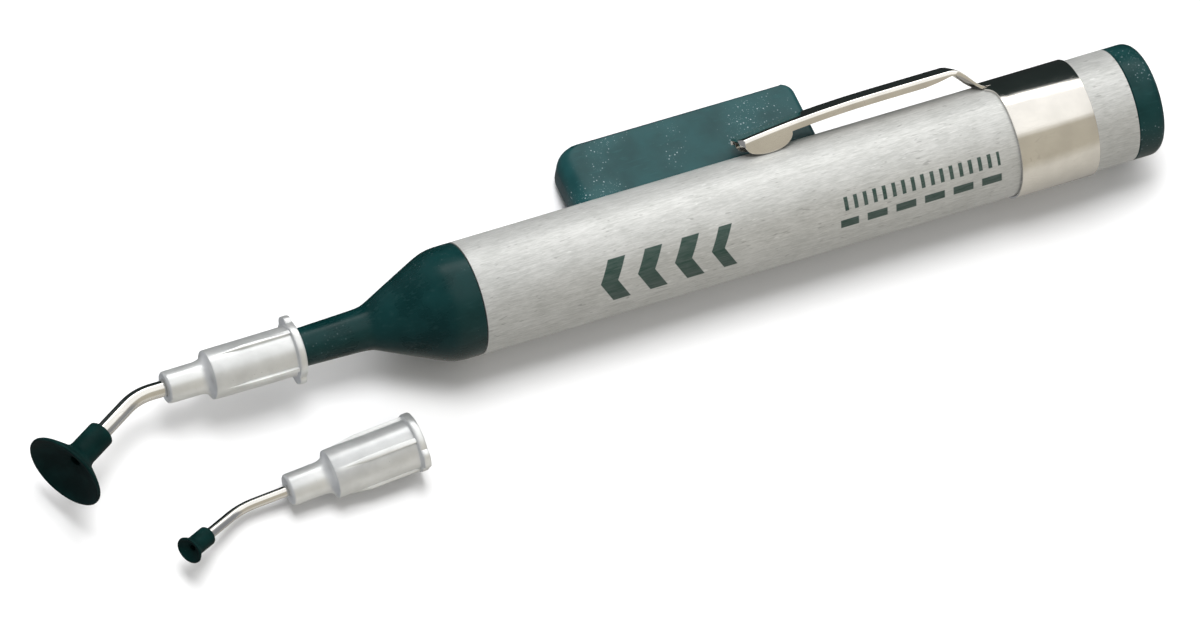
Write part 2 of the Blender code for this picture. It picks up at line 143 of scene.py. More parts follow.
def apply_modifiers(piece):
    deselect()
    piece.select_set(True)
    bpy.context.view_layer.objects.active = piece
    for modifier in list(piece.modifiers):
        bpy.ops.object.modifier_apply(modifier=modifier.name)


def round_edges(piece, width, segments=2, angle=40):
    bevel = piece.modifiers.new("rounding", 'BEVEL')
    bevel.width = width * MM
    bevel.segments = segments
    bevel.limit_method = 'ANGLE'
    bevel.angle_limit = math.radians(angle)
    apply_modifiers(piece)


def thicken(piece, thickness, offset):
    sheet = piece.modifiers.new("sheet", 'SOLIDIFY')
    sheet.thickness = thickness * MM
    sheet.offset = offset
    sheet.use_even_offset = True
    apply_modifiers(piece)


def combine(piece, tool, operation):
    """Join a tool to a piece, or cut it away, and throw the tool away."""
    boolean = piece.modifiers.new("join", 'BOOLEAN')
    boolean.operation = operation
    boolean.solver = 'EXACT'
    boolean.object = tool
    apply_modifiers(piece)
    bpy.data.objects.remove(tool)


def block(name, low, high):
    """A box between two corners in mm, left open in edit mode."""
    low, high = Vector(low) * MM, Vector(high) * MM
    return begin(bpy.ops.mesh.primitive_cube_add, name, size=1, location=(low + high) / 2,
                 scale=high - low)


def fit(piece, place, body, nodes, finish):
    """Put a finished piece in its place, smooth it, and let it stand for its CAD nodes."""
    deselect()
    piece.select_set(True)
    bpy.context.view_layer.objects.active = piece
    piece.matrix_world = place
    bpy.ops.object.transform_apply(location=True, rotation=True, scale=True)
    bpy.ops.object.shade_smooth_by_angle(angle=math.radians(32))
    piece.data.materials.clear()
    piece.data.materials.append(finish)
    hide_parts(*nodes)
    if body:
        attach(piece, body)


# ---------------------------------------------------------------- materials

class Wire:
    """A shader socket that can be worked with as a number."""

    def __init__(self, finish, socket):
        self.finish = finish
        self.socket = socket

    def math(self, operation, *values):
        sockets = dict(enumerate(values))
        return self.finish.node('ShaderNodeMath', {"operation": operation}, sockets)

    def __add__(self, other):
        return self.math('ADD', self, other)

    def __radd__(self, other):
        return self.math('ADD', other, self)

    def __sub__(self, other):
        return self.math('SUBTRACT', self, other)

    def __rsub__(self, other):
        return self.math('SUBTRACT', other, self)

    def __mul__(self, other):
        return self.math('MULTIPLY', self, other)

    def __rmul__(self, other):
        return self.math('MULTIPLY', other, self)

    def __truediv__(self, other):
        return self.math('DIVIDE', self, other)

    def above(self, low, high):
        """0 below low, 1 above high, smooth between them."""
        sockets = {"Value": self, "From Min": low, "From Max": high}
        return self.finish.node('ShaderNodeMapRange', {"interpolation_type": 'SMOOTHSTEP'}, sockets)

    def within(self, low, high, soft=0.04):
        """1 between two values, 0 outside them."""
        return self.above(low - soft, low + soft) * (1 - self.above(high - soft, high + soft))

    def size(self):
        return self.math('ABSOLUTE', self)

    def repeats(self, pitch):
        """Counts from 0 to 1 again and again, once each pitch."""
        return self.math('FRACT', self / pitch)


class Finish:
    """A material under construction."""

    def __init__(self, name, tree=None, **uniform):
        if tree is None:
            self.material = bpy.data.materials.new(name)
            self.material.use_nodes = True
            tree = self.material.node_tree
            self.shader = tree.nodes["Principled BSDF"]
            for socket, value in uniform.items():
                self.shader.inputs[socket.replace("_", " ")].default_value = value
        self.tree = tree

    def node(self, kind, settings=None, sockets=None, output=0):
        """Add one node: its settings first, then the values or wires of its sockets."""
        made = self.tree.nodes.new(kind)
        for name, value in (settings or {}).items():
            if name == "stops":
                for i, (place, colour) in enumerate(value):
                    ramp = made.color_ramp.elements
                    stop = ramp[i] if i < 2 else ramp.new(place)
                    stop.position = place
                    stop.color = (*colour, 1)
            else:
                setattr(made, name, value)
        for name, value in (sockets or {}).items():
            self.set(made.inputs[name], value)
        return Wire(self, made.outputs[output])

    def set(self, socket, value):
        if isinstance(value, Wire):
            self.tree.links.new(value.socket, socket)
        else:
            socket.default_value = value

    def feed(self, **values):
        """Feed the shader's own sockets."""
        for name, value in values.items():
            self.set(self.shader.inputs[name.replace("_", " ")], value)

    def place(self, scale=(1, 1, 1), turned=None):
        """Object coordinates in millimetres, turned to lie along a piece and stretched."""
        at = self.node('ShaderNodeTexCoord', output=3)
        if turned is not None:
            middle, angles = turned
            sockets = {"Vector": at, "Location": middle, "Rotation": angles}
            at = self.node('ShaderNodeMapping', {"vector_type": 'TEXTURE'}, sockets)
        size = tuple(s / MM for s in scale)
        return self.node('ShaderNodeVectorMath', {"operation": 'MULTIPLY'}, {0: at, 1: size})

    def split(self, at):
        """The three parts of a vector."""
        parts = self.tree.nodes.new('ShaderNodeSeparateXYZ')
        self.set(parts.inputs[0], at)
        return [Wire(self, part) for part in parts.outputs]

    def noise(self, at, scale, detail=3.0, rough=0.5):
        sockets = {"Vector": at, "Scale": scale, "Detail": detail, "Roughness": rough}
        return self.node('ShaderNodeTexNoise', None, sockets)

    def cells(self, at, scale, feature='F1'):
        sockets = {"Vector": at, "Scale": scale}
        return self.node('ShaderNodeTexVoronoi', {"feature": feature}, sockets)

    def mix(self, share, one, other):
        """From one colour to another as share goes from 0 to 1."""
        one = one if isinstance(one, Wire) else (*one, 1)
        other = other if isinstance(other, Wire) else (*other, 1)
        sockets = {0: share, 6: one, 7: other}
        return self.node('ShaderNodeMix', {"data_type": 'RGBA'}, sockets, output=2)

    def bump(self, height, distance, strength=1.0):
        """Height from 0 to 1, as that many millimetres."""
        sockets = {"Height": height, "Distance": distance * MM, "Strength": strength}
        return self.node('ShaderNodeBump', None, sockets)


def brushed_metal(name, tone, dark, light, rough, turned, metallic=1.0, nicks=0.5, relief=0.5,
                  print_on=None):
    """Metal brushed along a piece: fine streaks, soft mottling, small nicks and any printing."""
    finish = Finish(name, Metallic=metallic)
    streaks = finish.noise(finish.place((0.5, 4.2, 4.2), turned), 1.0, 4.0, 0.68)
    fine = finish.noise(finish.place((1.4, 13, 13), turned), 1.0, 2.0)
    clouds = finish.noise(finish.place(turned=turned), 0.28, 3.0)
    specks = finish.noise(finish.place((0.8, 3.4, 3.4), turned), 1.0, 1.0)
    body = streaks * 0.9 + fine * 0.6 + clouds * 0.4 - 0.60
    colour = finish.mix(body.above(0.0, 0.7), dark, light)
    colour = finish.mix(specks.above(0.68, 0.76) * nicks, colour, tuple(c * 0.35 for c in tone))
    colour = finish.mix((1 - specks).above(0.70, 0.80) * nicks * 0.7, colour, (0.92, 0.92, 0.90))
    if print_on:
        ink, strength = print_on(finish)
        colour = finish.mix(strength * (0.80 + streaks * 0.3), colour, ink)
        finish.feed(Metallic=metallic * (1 - strength))
    height = streaks * 0.7 + fine * 0.3
    finish.feed(Base_Color=colour, Roughness=rough + (streaks - 0.5) * 0.16,
                Normal=finish.bump(height, 0.012, relief))
    return finish.material


def barrel_print(finish):
    """Plain marks in dark green ink: chevrons that point to the nose, ticks and dashes."""
    middle, angles = lying(pen @ Matrix.Rotation(PRINT_TURN, 4, 'X'))
    x, y, z = finish.split(finish.place(turned=(middle, angles)))
    across = y.math('ARCTAN2', y, z) * BARREL_R
    along = x - across.size() * 0.55
    chevrons = (along.within(11.2, 28.2) * along.repeats(4.4).within(0.05, 0.52, 0.01)
                * across.within(-2.5, 2.5))
    rows = x.within(42.0, 61.4)
    upper = across.within(0.1, 1.7) * rows * x.repeats(1.15).within(0.1, 0.5, 0.03)
    lower = across.within(-1.9, -0.9) * rows * x.repeats(3.45).within(0.1, 0.8, 0.02)
    return (0.010, 0.040, 0.030), chevrons.math('MAXIMUM', chevrons, upper + lower)


def satin_metal(name, tone, rough, turned):
    """Bright satin aluminium: soft mottling, faint turning marks and a few tiny pits."""
    finish = Finish(name, Metallic=0.75)
    clouds = finish.noise(finish.place(turned=turned), 0.40, 3.0)
    grain = finish.noise(finish.place((1.6, 5, 5), turned), 1.0, 2.0)
    pits = finish.cells(finish.place(turned=turned), 1.3)
    colour = finish.mix(clouds.above(0.32, 0.68), tuple(c * 0.88 for c in tone), tone)
    colour = finish.mix((1 - pits.above(0.03, 0.09)) * clouds.above(0.45, 0.6) * 0.6, colour,
                        tuple(c * 0.35 for c in tone))
    finish.feed(Base_Color=colour, Roughness=rough + (clouds - 0.5) * 0.14 + (grain - 0.5) * 0.08,
                Normal=finish.bump(grain, 0.002, 0.10))
    return finish.material


def polished_steel(name, tone, rough, turned):
    """Rolled spring steel: near mirror, with faint rolling lines and a few fine scratches."""
    finish = Finish(name, Metallic=1.0)
    rolling = finish.noise(finish.place((0.25, 5, 5), turned), 1.0, 3.0)
    clouds = finish.noise(finish.place(turned=turned), 0.35, 3.0)
    scratch = finish.cells(finish.place((0.5, 2.2, 2.2), turned), 0.8, 'DISTANCE_TO_EDGE')
    worn = (1 - scratch.above(0.0, 0.02)) * clouds.above(0.50, 0.62)
    colour = finish.mix(clouds.above(0.3, 0.7), tone, tuple(min(1, c * 1.10) for c in tone))
    colour = finish.mix(worn * 0.25, colour, tuple(c * 0.6 for c in tone))
    finish.feed(Base_Color=colour, Roughness=rough + (rolling - 0.5) * 0.10 + worn * 0.12,
                Normal=finish.bump(rolling + clouds * 2, 0.010, 0.35))
    return finish.material


def moulded_plastic(name, tone, rough, sheen, dust):
    """Moulded plastic with a fine matt grain, handling marks and drifts of fine dust."""
    finish = Finish(name, Metallic=0.0, IOR=1.5, Specular_IOR_Level=sheen)
    at = finish.place()
    grain = finish.noise(at, 9.0, 2.0)
    clouds = finish.noise(at, 0.22, 4.0)
    marks = finish.noise(finish.place((0.5, 2.6, 2.6)), 0.9, 4.0, 0.6)
    drift = finish.noise(at, 0.16, 2.0)
    pale = tuple(c * 1.7 + 0.008 for c in tone)
    colour = finish.mix(clouds.above(0.35, 0.7), tone, tuple(c * 1.5 + 0.002 for c in tone))
    colour = finish.mix(marks.above(0.56, 0.72) * 0.6, colour, pale)
    colour = finish.mix(drift.above(0.42, 0.70) * dust * 0.7, colour, pale)
    for scale, least, share in ((2.1, 0.46, 1.0), (4.6, 0.50, 0.7)):
        specks = 1 - finish.cells(at, scale).above(0.07, 0.22)
        colour = finish.mix(specks * drift.above(least, least + 0.14) * share * dust, colour,
                            (0.26, 0.33, 0.35))
    finish.feed(Base_Color=colour,
                Roughness=rough + (clouds - 0.5) * 0.20 + marks.above(0.5, 0.7) * 0.10,
                Normal=finish.bump(grain * 0.6 + marks, 0.010, 0.55))
    return finish.material


def soft_rubber(name, tone, rough):
    """Matt rubber with a fine skin, a little bloom and a few dust specks."""
    finish = Finish(name, Metallic=0.0, IOR=1.45, Specular_IOR_Level=0.12)
    at = finish.place()
    skin = finish.noise(at, 12.0, 3.0)
    clouds = finish.noise(at, 0.5, 3.0)
    specks = finish.cells(at, 1.6)
    colour = finish.mix(clouds.above(0.3, 0.7), tone, tuple(c * 1.7 + 0.001 for c in tone))
    dusty = (1 - specks.above(0.03, 0.08)) * clouds.above(0.5, 0.6)
    colour = finish.mix(dusty * 0.5, colour, (0.08, 0.12, 0.11))
    finish.feed(Base_Color=colour, Roughness=rough + (clouds - 0.5) * 0.16,
                Normal=finish.bump(skin, 0.012, 0.6))
    return finish.material


# ---------------------------------------------------------------- frames of the pieces

def axes(origin, x, z):
    """A frame from its origin and two of its directions."""
    x = Vector(x).normalized()
    z = Vector(z)
    z = (z - x * z.dot(x)).normalized()
    y = z.cross(x)
    return Matrix.Translation(origin) @ Matrix((x, y, z)).transposed().to_4x4()


BARREL_R = 6.35
BORE_R = 5.55
SPIGOT_R = 5.50
HUB_LENGTH = 15.5
BEND = math.radians(30)                 # of the probes' tubes
PRINT_TURN = math.radians(146)          # from the button, round the barrel
joints = {joint["name"]: joint for joint in frame["joints"]}
barrel_low, barrel_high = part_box("barrel")
seam = Vector((barrel_low.x, (barrel_low.y + barrel_high.y) / 2,
               (barrel_low.z + barrel_high.z) / 2))
pen = axes(seam, (1, 0, 0), -Vector(joints["button_press"]["axis"]))
hinge_axis = Vector(joints["clip_flex"]["axis"])
clip = axes(seam, (1, 0, 0), Vector((1, 0, 0)).cross(hinge_axis))


def probe_frame(origin, x, cup_axis):
    """A probe's frame: the bent run leaves along cup_axis, to the -Z side of -X."""
    x = Vector(x).normalized()
    return axes(origin, x, -(Vector(cup_axis) + x * math.cos(BEND)))


fitted = probe_frame(joints["probe_swivel"]["pos_m"], (1, 0, 0), joints["fitted_cup_pull"]["axis"])
SPARE_FROM_SEAM = Vector((-9.4, -13.0)) * MM
SPARE_HEIGHT = 3.5149 * MM
SPARE_LINE = (0.9956402, 0.0608959, 0.0706558)
spare_origin = (seam.x + SPARE_FROM_SEAM.x, seam.y + SPARE_FROM_SEAM.y, SPARE_HEIGHT)
spare = probe_frame(spare_origin, SPARE_LINE, joints["spare_cup_pull"]["axis"])


def lying(place):
    """A frame as the location and angles of a Mapping node."""
    return place.to_translation(), place.to_euler()


# ---------------------------------------------------------------- camera, light, floor

CAMERA_DISTANCE = 1.5    # m
LIGHT_DISTANCE = 0.9     # m
FLOOR_DROP = 0.00002     # m, keeps the floor clear of what stands on it


def make_camera():
    azimuth = math.radians(-64.772)
    height = math.radians(70.507)
    roll = math.radians(46.815)
    back = Vector((math.sin(azimuth) * math.cos(height), -math.cos(azimuth) * math.cos(height),
                   math.sin(height)))
    right = (-back).cross(Vector((0, 0, 1))).normalized()
    up = right.cross(-back)
    across = right * math.cos(roll) + up * math.sin(roll)
    upward = up * math.cos(roll) - right * math.sin(roll)
    band_low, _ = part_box("clip_band")
    target = Vector((seam.x + 16.006 * MM, seam.y - 4.96 * MM, band_low.z))
    data = bpy.data.cameras.new("camera")
    data.sensor_width = 36
    data.lens = 411.7
    data.clip_start = 0.05
    data.clip_end = 20
    camera = bpy.data.objects.new("camera", data)
    camera.matrix_world = (Matrix.Translation(target + back * CAMERA_DISTANCE)
                           @ Matrix((across, upward, back)).transposed().to_4x4())
    bpy.context.scene.collection.objects.link(camera)
    bpy.context.scene.camera = camera


def make_floor():
    deselect()
    bpy.ops.mesh.primitive_plane_add(size=3, location=(0, 0, -FLOOR_DROP))
    floor = bpy.context.active_object
    floor.name = "floor"
    paper = Finish("paper", Base_Color=(0.90, 0.90, 0.905, 1), Roughness=0.9)
    paper.feed(Specular_IOR_Level=0.0)
    floor.data.materials.append(paper.material)
    floor.visible_glossy = False


def make_light(name, aim, size, energy):
    """A square softbox that lights the pen but doesn't show in its metal."""
    data = bpy.data.lights.new(name, 'AREA')
    data.shape = 'SQUARE'
    data.size = size
    data.energy = energy
    light = bpy.data.objects.new(name, data)
    aim = Vector(aim).normalized()
    light.location = aim * LIGHT_DISTANCE
    light.rotation_euler = aim.to_track_quat('Z', 'Y').to_euler()
    light.visible_glossy = False
    bpy.context.scene.collection.objects.link(light)


def make_surroundings():
    """A soft studio: one long pale panel overhead with a tan card beside it, in a grey room."""
    world = bpy.data.worlds.new("studio")
    world.use_nodes = True
    bpy.context.scene.world = world
    room = Finish("studio", world.node_tree)
    direction = room.node('ShaderNodeTexCoord', output=0)
    x, y, z = room.split(direction)
    angle = y.math('ARCTAN2', 0 - y, z) / math.tau + 0.5
    stops = [(0.0, (0.30, 0.29, 0.27)), (0.06, (0.02, 0.025, 0.025)), (0.295, (0.02, 0.03, 0.03)),
             (0.315, (3.2, 3.2, 3.2)), (0.335, (2.8, 2.8, 2.8)), (0.36, (1.12, 1.12, 1.12)),
             (0.515, (1.10, 1.10, 1.08)), (0.55, (0.50, 0.47, 0.40)),
             (0.69, (0.48, 0.45, 0.38)), (0.75, (0.66, 0.64, 0.59)), (1.0, (0.30, 0.29, 0.27))]
    panel = room.node('ShaderNodeValToRGB', {"stops": stops}, {0: angle})
    aside = (x - 0.30).size().above(0.32, 0.55)
    background = world.node_tree.nodes["Background"]
    room.set(background.inputs[0], room.mix(aside, panel, (0.255, 0.265, 0.285)))


# ---------------------------------------------------------------- pen body

def make_barrel(finish):
    """The tube, with its slot for the button."""
    length = (barrel_high.x - barrel_low.x) / MM
    tube = turn("barrel_tube", [(0, BORE_R), (0, BARREL_R), (length, BARREL_R), (length, BORE_R),
                                (0, BORE_R)], 160)
    slot = block("slot_cutter", (15.65, -2.3, 3), (44.45, 2.3, 9))
    pick_edges(slot, lambda a, b: not near(a.z, b.z))
    bpy.ops.mesh.bevel(offset=0.9 * MM, segments=5)
    close(slot)
    combine(tube, slot, 'DIFFERENCE')
    round_edges(tube, 0.10, 2, 50)
    fit(tube, pen, "pen", ["barrel"], finish)


def make_nose(finish):
    """The nose: collar, cone and luer nozzle, with its spigot and barb inside the barrel."""
    outside = [(-26.7, 0.8), (-26.7, 1.80), (-26.58, 1.92), (-19.9, 2.12), (-13.2, 2.33),
               (-12.3, 2.38), (-11.7, 2.48), (-11.2, 2.66), (-10.7, 2.88), (-8.0, 4.12),
               (-4.7, 5.62), (-4.1, 5.87), (-3.6, 6.06), (-3.1, 6.20), (-2.5, 6.30), (-1.8, 6.345),
               (-0.35, 6.35), (-0.16, 6.33), (-0.08, 6.24)]
    inside = [(-0.08, SPIGOT_R), (5.5, SPIGOT_R), (5.5, 2.0), (8.4, 2.0), (8.4, 2.4), (11.0, 1.7),
              (11.0, 0.8), (-26.7, 0.8)]
    nose = turn("nose_moulding", outside + inside, 128)
    fit(nose, pen, "pen", ["nose_cone"], finish)


def make_rear_plug(finish):
    """The plug in the barrel's rear end, with a rounded edge and a shallow dish."""
    profile = [(72.2, 5.2), (72.5, SPIGOT_R), (78.28, SPIGOT_R), (78.28, 6.26), (78.37, BARREL_R)]
    profile += arc((80.45, 5.20), 1.15, 90, 4, 8) + [(81.6, 4.9), (81.52, 4.6), (81.5, 1.5)]
    plug = turn("rear_plug", profile, 128, ends="capped")
    fit(plug, pen, "pen", ["end_cap"], finish)


def make_button(finish):
    """The press button: an upright plate on a curved foot."""
    front, rear, top, side = 15.7, 44.4, 13.5, 2.25
    plate = block("press_button", (front, -side, 5.0), (rear, side, top))
    for end, width, segments in ((front, 2.3, 8), (rear, 1.3, 6)):
        pick_edges(plate, lambda a, b: near(a.z, b.z) and near(a.x, end * MM)
                   and near(b.x, end * MM) and a.z > 9 * MM)
        bpy.ops.mesh.bevel(offset=width * MM, segments=segments)
    pick_edges(plate, lambda a, b: near(a.y, b.y) and near(a.y, side * MM)
               and max(a.z, b.z) > 6 * MM)
    bpy.ops.mesh.bevel(offset=1.1 * MM, segments=4)
    mesh = bmesh.from_edit_mesh(plate.data)
    weight = mesh.edges.layers.float.get("bevel_weight_edge")
    weight = weight or mesh.edges.layers.float.new("bevel_weight_edge")
    for edge in mesh.edges:
        a, b = (vert.co for vert in edge.verts)
        if near(a.y, -side * MM) and near(b.y, -side * MM) and max(a.z, b.z) > 6 * MM:
            middle = (a.x + b.x) / 2 / MM
            ahead = max(0.0, 1 - (middle - front) / 2.4)
            behind = max(0.0, 1 - (rear - middle) / 1.4)
            edge[weight] = max(0.15, ahead, behind * 0.4)
    bmesh.update_edit_mesh(plate.data)
    close(plate)
    bevel = plate.modifiers.new("rounding", 'BEVEL')
    bevel.width = 2.15 * MM
    bevel.segments = 9
    bevel.use_clamp_overlap = False
    bevel.limit_method = 'WEIGHT'
    apply_modifiers(plate)

    foot = begin(bpy.ops.mesh.primitive_circle_add, "foot", vertices=96, radius=SPIGOT_R * MM,
                 location=(13.2 * MM, 0, 0), rotation=(0, math.pi / 2, 0))
    pick_points(foot, lambda p: math.atan2(abs(p.y), p.z) > math.radians(39))
    bpy.ops.mesh.delete(type='VERT')
    bpy.ops.mesh.select_all(action='SELECT')
    draw_on((33.7 * MM, 0, 0))
    close(foot)
    if sum(face.normal.z for face in foot.data.polygons) < 0:
        foot.data.flip_normals()
    thicken(foot, 0.9, -1)
    combine(plate, foot, 'UNION')
    fit(plate, pen, "button", ["vacuum_button"], finish)


# ---------------------------------------------------------------- clip

BAND_R = 6.525           # middle of the sheet
BAND_START = 63.8
NECK_END = 60.3          # forward of it, the arm's back is flat
ARM_HALF = 1.75
ARM_TIP = 34.2
TAB_MIDDLE = 37.45
TAB_HALF = 2.85


def arm_height(x):
    """Middle of the arm's sheet over the pen's axis, in mm."""
    if x <= 59.8:
        share = (59.8 - x) / (59.8 - ARM_TIP)
        return 9.225 - max(0.0, share - 0.35) ** 2 / 0.65 ** 2
    share = min(1.0, (x - 59.8) / 3.5)
    return 9.225 + (BAND_R - 9.225) * (3 * share ** 2 - 2 * share ** 3)


def side_depth(x):
    """How far the arm's folded side hangs below its back."""
    if x < 35.2:
        return 1.05 - (35.2 - x) * 0.5
    return 1.05 if x < 57 else max(0.30, 1.05 - (x - 57) * 0.16)


def tab_depth(x):
    """How far the half-round tab hangs below the folded side."""
    share = (x - TAB_MIDDLE) / TAB_HALF
    deepest = arm_height(x) - math.sqrt(6.42 ** 2 - ARM_HALF ** 2) - side_depth(x)
    return deepest * math.sqrt(max(0.0, 1 - share ** 2))


def make_clip(finish):
    """Band and arm, folded from one strip of sheet."""
    step = math.tau / 96
    sheet = begin(bpy.ops.mesh.primitive_circle_add, "pocket_clip", vertices=96,
                  radius=BAND_R * MM, location=(BAND_START * MM, 0, 0),
                  rotation=(0, math.pi / 2, 0))
    for reach in (0.8, 1.6, 7.0):
        draw_on((reach * MM, 0, 0))

    def around(p):
        return math.atan2(abs(p.y), p.z) / step

    def at_front(p, i):
        return near(p.x, BAND_START * MM) and abs(around(p) - i) < 0.3

    for i, forward in ((5, 0.85), (6, 0.42), (7, 0.18), (8, 0.06)):
        pick_points(sheet, lambda p: at_front(p, i))
        bpy.ops.transform.translate(value=(-forward * MM, 0, 0))

    pick_points(sheet, lambda p: near(p.x, BAND_START * MM) and around(p) < 4.3)
    tab = [TAB_MIDDLE + TAB_HALF * math.cos(math.pi * i / 14) for i in range(15)]
    stations = [63.2, 62.7, 62.2, 61.7, 61.2, 60.7, 60.2, 59.7, 59.0, 58.0, 56.5, 54, 51, 48, 45,
                43, 41.2] + tab + [34.4, ARM_TIP]
    x, height = BAND_START, BAND_R
    for i, next_x in enumerate(stations):
        next_height = arm_height(next_x)
        draw_on(((next_x - x) * MM, 0, (next_height - height) * MM))
        widen = 1.037 if i == 0 else 1.0
        flat = 0.6 if i < 6 else 0.0 if i == 6 else 1.0
        bpy.ops.transform.resize(value=(1, widen, flat),
                                 center_override=(next_x * MM, 0, next_height * MM))
        x, height = next_x, next_height

    columns = [1.037 * BAND_R * MM * math.sin(i * step) for i in range(5)]
    half = columns[4]
    for column in columns[1:4]:
        pick_points(sheet, lambda p: p.x < NECK_END * MM and near(abs(p.y), column, 2e-5))
        bpy.ops.transform.resize(value=(1, 0.62, 1), center_override=(0, 0, 0))

    def on_side(p):
        return p.x < 63.3 * MM and near(abs(p.y), half, 2e-5)

    pick_edges(sheet, lambda a, b: on_side(a) and on_side(b) and not near(a.x, b.x))
    draw_on((0, 0, -0.30 * MM))
    for place in stations:
        pick_points(sheet, lambda p: near(p.x, place * MM) and on_side(p)
                    and p.z < (arm_height(place) - 0.25) * MM)
        bpy.ops.transform.translate(value=(0, 0, -(side_depth(place) - 0.30) * MM))

    def on_hem(p):
        return on_side(p) and p.z < (arm_height(p.x / MM) - side_depth(p.x / MM) + 0.02) * MM

    pick_edges(sheet, lambda a, b: on_hem(a) and on_hem(b) and max(a.x, b.x) < (tab[0] + 0.01) * MM
               and min(a.x, b.x) > (tab[-1] - 0.01) * MM)
    draw_on((0, 0, -0.05 * MM))
    for place in tab:
        pick_points(sheet, lambda p: near(p.x, place * MM) and on_side(p)
                    and p.z < (arm_height(place) - side_depth(place) - 0.03) * MM)
        bpy.ops.transform.translate(value=(0, 0, -(tab_depth(place) - 0.05) * MM))

    pick_edges(sheet, lambda a, b: on_side(a) and on_side(b) and not near(a.x, b.x)
               and a.z > (arm_height(a.x / MM) - 0.02) * MM
               and b.z > (arm_height(b.x / MM) - 0.02) * MM and max(a.x, b.x) < NECK_END * MM)
    bpy.ops.mesh.bevel(offset=0.45 * MM, segments=5, clamp_overlap=True)
    for place, share in ((tab[-1], 0.97), (34.4, 0.90), (ARM_TIP, 0.72)):
        pick_points(sheet, lambda p: near(p.x, place * MM, 2e-5))
        bpy.ops.transform.resize(value=(1, share, 1), center_override=(0, 0, 0))
    close(sheet)
    thicken(sheet, 0.25, 0)
    round_edges(sheet, 0.05, 2, 60)
    fit(sheet, clip, None, ["clip_band", "clip_arm"], finish)
    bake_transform(sheet)


# ---------------------------------------------------------------- probes

def make_hub(name, place, body, node, lug_roll, bore, finish):
    """A luer hub: flange with two lugs, ribbed body, fillet, neck, tapered socket."""
    outside = [(0, 2.17), (0, 3.18), (-0.05, 3.28), (-0.16, 3.33), (-0.74, 3.33), (-0.86, 3.28),
               (-0.90, 3.18), (-0.90, 2.95), (-0.97, 2.84), (-1.1, 2.80), (-10.34, 2.76),
               (-10.44, 2.72), (-10.49, 2.62), (-10.56, 2.42), (-10.68, 2.21), (-10.90, 2.02),
               (-11.25, 1.89), (-11.7, 1.82), (-15.20, 1.80), (-15.38, 1.75), (-HUB_LENGTH, 1.62)]
    inside = [(-HUB_LENGTH, bore + 0.12), (-15.38, bore), (-8.6, bore), (-8.0, 1.93), (0, 2.17)]
    hub = turn(name, outside + inside, 96)
    for i in range(4):
        rib = block("rib", (-6.6, -0.29, 2.4), (-0.45, 0.29, 3.10))
        pick_edges(rib, lambda a, b: a.z > 2.5 * MM and b.z > 2.5 * MM and not near(a.x, b.x))
        bpy.ops.mesh.bevel(offset=0.08 * MM, segments=2)
        pick_points(rib, lambda p: p.x < -6 * MM)
        draw_on((-2.9 * MM, 0, 0))
        bpy.ops.transform.resize(value=(1, 0.12, 1), center_override=(-9.5 * MM, 0, 0))
        pick_points(rib, lambda p: p.x < -9 * MM and p.z > 2.9 * MM)
        bpy.ops.transform.translate(value=(0, 0, -0.36 * MM))
        close(rib)
        rib.rotation_euler = (lug_roll + math.radians(45 + 90 * i), 0, 0)
        combine(hub, rib, 'UNION')
    for i in range(2):
        lug = block("lug", (-0.87, -1.3, 2.5), (-0.03, 1.3, 3.8))
        pick_edges(lug, lambda a, b: near(a.z, 3.8 * MM) and near(b.z, 3.8 * MM)
                   and not near(a.x, b.x))
        bpy.ops.mesh.bevel(offset=0.95 * MM, segments=6)
        close(lug)
        round_edges(lug, 0.15, 2, 50)
        lug.rotation_euler = (lug_roll + math.pi * i, 0, 0)
        combine(hub, lug, 'UNION')
    fit(hub, place, body, [node], finish)


def make_tube(name, place, body, node, radius, wall, lead, reach, finish):
    """The bent tube: straight out of the hub, round a bend, and straight on to the cup."""
    bend_r = 6.5
    tangent = bend_r * math.tan(BEND / 2)
    corner = -HUB_LENGTH - lead
    tube = begin(bpy.ops.mesh.primitive_circle_add, name, vertices=32, radius=radius * MM,
                 location=(-10 * MM, 0, 0), rotation=(0, math.pi / 2, 0))
    draw_on(((corner + tangent + 10) * MM, 0, 0))
    bpy.ops.mesh.spin(steps=14, angle=BEND, center=((corner + tangent) * MM, 0, -bend_r * MM),
                      axis=(0, 1, 0))
    rest = reach - tangent
    draw_on((-rest * math.cos(BEND) * MM, 0, -rest * math.sin(BEND) * MM))
    close(tube)
    thicken(tube, wall, -1)
    fit(tube, place, body, [node], finish)


def make_cup(name, place, body, node, outside, inside, finish):
    """A rubber cup on the bent run, from its neck to its lip."""
    cup = turn(name, outside + inside + outside[:1], 96)
    fit(cup, place, body, [node], finish)


def cup_frame(place, lead):
    corner = Matrix.Translation(((-HUB_LENGTH - lead) * MM, 0, 0))
    return place @ corner @ Matrix.Rotation(-BEND, 4, 'Y')


# ---------------------------------------------------------------- assembly

make_camera()
make_floor()
make_light("key", (-0.10, 0.36, 0.93), 0.34, 6.5)
make_light("far_fill", (0.10, 0.85, 0.45), 0.7, 3.0)
make_surroundings()

